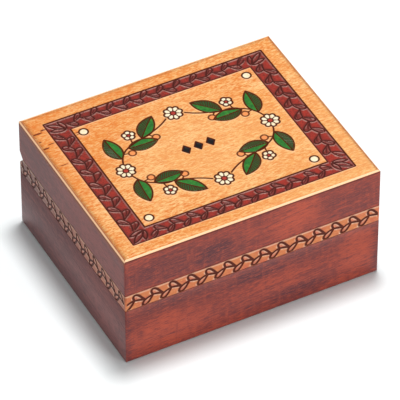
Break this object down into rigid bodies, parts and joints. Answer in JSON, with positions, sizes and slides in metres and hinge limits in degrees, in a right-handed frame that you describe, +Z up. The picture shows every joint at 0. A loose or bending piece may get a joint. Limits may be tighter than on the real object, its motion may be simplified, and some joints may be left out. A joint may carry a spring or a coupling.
{
  "type": "tea bag organizer box",
  "caption": "Hinged wooden box with a carved border on its lid, a light band below the rim and divided compartments for tea bag envelopes.",
  "frame": {"origin": "middle of the underside, on the surface the box stands on", "axes": "+Z up, +X to the right along the longer side, +Y towards the hinged back"},
  "size_m": [0.19, 0.156, 0.0915],
  "materials": {
    "light_wood": "honey coloured lime wood, carved, painted and lacquered",
    "stained_wood": "red-brown stain over lime wood, satin lacquer",
    "plain_wood": "unstained wood, thin lacquer",
    "hinge_brass": "satin brass"
  },
  "bodies": {
    "base": {"bottom_panel": "plain_wood", "base_front_wall": "stained_wood", "base_back_wall": "stained_wood", "base_left_wall": "stained_wood", "base_right_wall": "stained_wood", "long_divider": "plain_wood", "left_cross_divider": "plain_wood", "right_cross_divider": "plain_wood", "left_hinge_base_leaf": "hinge_brass", "right_hinge_base_leaf": "hinge_brass", "left_hinge_pin": "hinge_brass", "right_hinge_pin": "hinge_brass"},
    "lid": {"lid_top_panel": "light_wood", "lid_front_wall": "stained_wood", "lid_back_wall": "stained_wood", "lid_left_wall": "stained_wood", "lid_right_wall": "stained_wood", "left_hinge_lid_leaf": "hinge_brass", "right_hinge_lid_leaf": "hinge_brass"}
  },
  "joints": [
    {"name": "lid_hinge", "type": "hinge", "parent": "base", "child": "lid", "pos_m": [0, 0.0728, 0.06035], "axis": [-1, 0, 0], "range_deg": [0, 97]}
  ]
}
